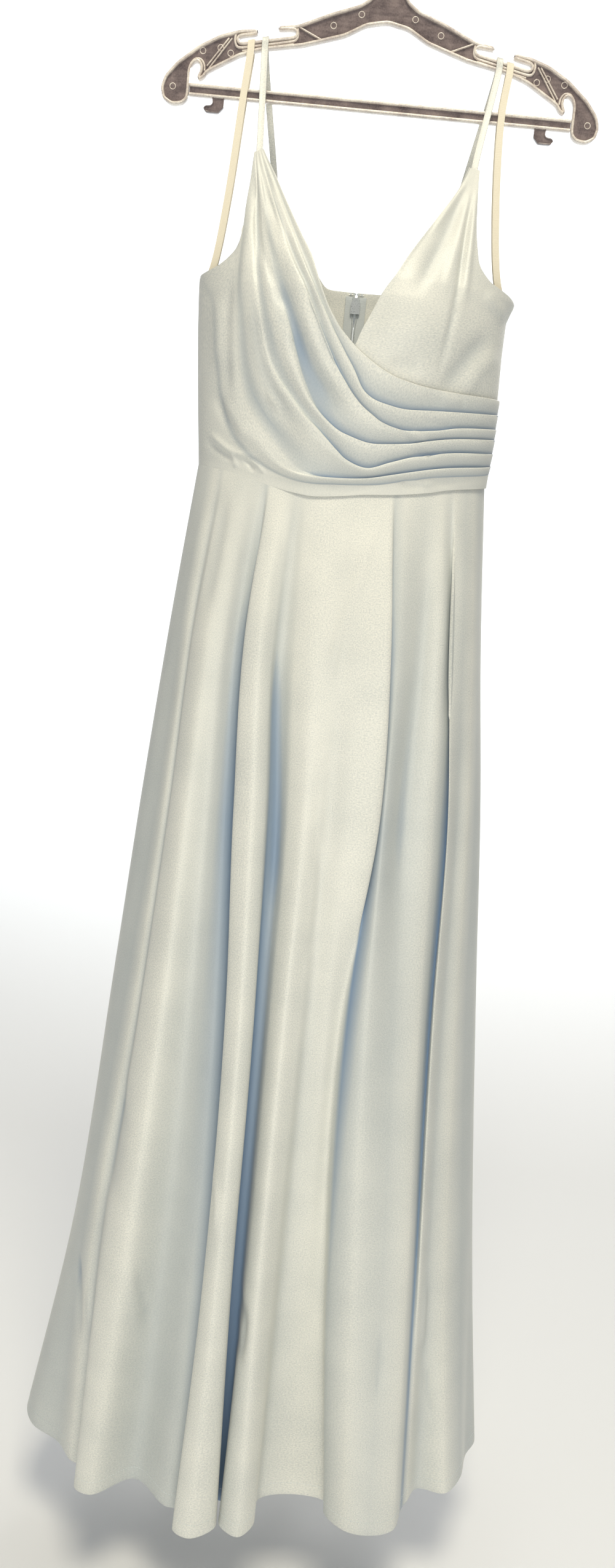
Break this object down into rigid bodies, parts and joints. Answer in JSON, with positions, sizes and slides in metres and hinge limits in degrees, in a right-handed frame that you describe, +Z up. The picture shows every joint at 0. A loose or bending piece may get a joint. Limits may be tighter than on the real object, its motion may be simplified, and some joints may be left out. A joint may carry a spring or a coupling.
{
  "type": "evening dress on a hanger",
  "caption": "Floor-length ice blue satin evening dress with a pleated wrap bodice, thin straps and a fluted skirt, on a clear plastic hanger.",
  "frame": {"origin": "top inner point of the hanger's hook, where it rests on a rail", "axes": "+Z up along the hanging dress, -Y towards the viewer of its front, +X to the right seen from the front"},
  "size_m": [0.5441, 0.346, 1.6661],
  "materials": {
    "ice_blue_satin": "soft satin sheen",
    "ivory_ribbon": "satin ribbon",
    "grey_zip_tape": "matt woven tape",
    "coated_metal": "satin",
    "clear_plastic": "clear, gloss"
  },
  "bodies": {
    "dress": {"bodice_wrap": "ice_blue_satin", "bodice_under": "ice_blue_satin", "bodice_back_left": "ice_blue_satin", "bodice_back_right": "ice_blue_satin", "skirt_front": "ice_blue_satin", "skirt_back_left": "ice_blue_satin", "skirt_back_right": "ice_blue_satin", "strap_left": "ice_blue_satin", "strap_right": "ice_blue_satin", "loop_left": "ivory_ribbon", "loop_right": "ivory_ribbon", "zip_tape_left": "grey_zip_tape", "zip_tape_right": "grey_zip_tape", "zip_slider": "coated_metal", "back_hook": "coated_metal", "back_eye": "coated_metal", "hanger_arms": "clear_plastic", "hanger_bar": "clear_plastic", "hanger_hook": "clear_plastic"},
    "pull": {"zip_pull": "coated_metal"}
  },
  "joints": [
    {"name": "zip_pull_hinge", "type": "hinge", "parent": "dress", "child": "pull", "pos_m": [-0.005, 0.07982, -0.36], "axis": [1, 0, 0], "range_deg": [0, 160]}
  ]
}
